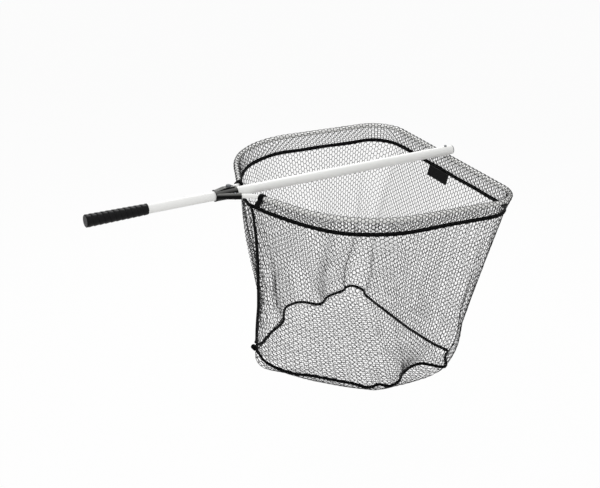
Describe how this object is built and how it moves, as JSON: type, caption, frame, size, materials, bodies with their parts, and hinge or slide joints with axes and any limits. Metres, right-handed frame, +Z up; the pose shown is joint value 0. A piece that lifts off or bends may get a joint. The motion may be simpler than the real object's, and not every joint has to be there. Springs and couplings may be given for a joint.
{
  "type": "landing net",
  "caption": "Landing net with a wrapped grip, an alloy handle tube that slides through a moulded yoke, a rounded hoop and a deep flat-bottomed mesh bag.",
  "frame": {"origin": "middle of the grip, on the handle tube's axis", "axes": "+X along the handle from the butt to the tip, +Z up out of the bag's mouth, +Y to the far side of the hoop"},
  "size_m": [0.9448, 0.6076, 0.5098],
  "materials": {
    "white_tube": "white satin coat",
    "grip_rubber": "matt",
    "grey_plastic": "moulded",
    "spring_steel": "plain",
    "black_plastic": "fine moulded grain",
    "brass": "turned",
    "rivet_alloy": "plain",
    "netting": "knotless mesh",
    "binding": "woven tape"
  },
  "bodies": {
    "handle": {"handle_tube": "white_tube", "grip": "grip_rubber", "butt_cap": "grip_rubber", "tip_plug": "grey_plastic", "snap_spring": "spring_steel"},
    "snap": {"snap_button": "spring_steel"},
    "head": {"yoke": "black_plastic", "lock_insert": "brass", "lock_pad": "grey_plastic", "rivet_near": "rivet_alloy", "rivet_far": "rivet_alloy", "hoop": "white_tube", "net_sleeve": "netting", "net_side": "netting", "net_base": "netting", "rim_binding": "binding", "base_binding": "binding", "back_seam": "binding", "sleeve_end_near": "binding", "sleeve_end_far": "binding", "label_tab": "binding", "seam_tab": "binding"},
    "knob": {"lock_knob": "black_plastic", "lock_screw": "spring_steel"}
  },
  "joints": [
    {"name": "head_slide", "type": "slide", "parent": "handle", "child": "head", "axis": [1, 0, 0], "range_m": [-0.161, 0.5575]},
    {"name": "snap_button_press", "type": "slide", "parent": "handle", "child": "snap", "axis": [0, 0, -1], "range_m": [0, 0.003], "stiffness_N_per_m": 1000, "springref_m": -0.003, "deforming": ["snap_spring"]},
    {"name": "lock_knob_turn", "type": "hinge", "parent": "head", "child": "knob", "pos_m": [0.2685, 0, 0.0165], "axis": [0, 0, 1], "range_deg": [0, 270]}
  ]
}
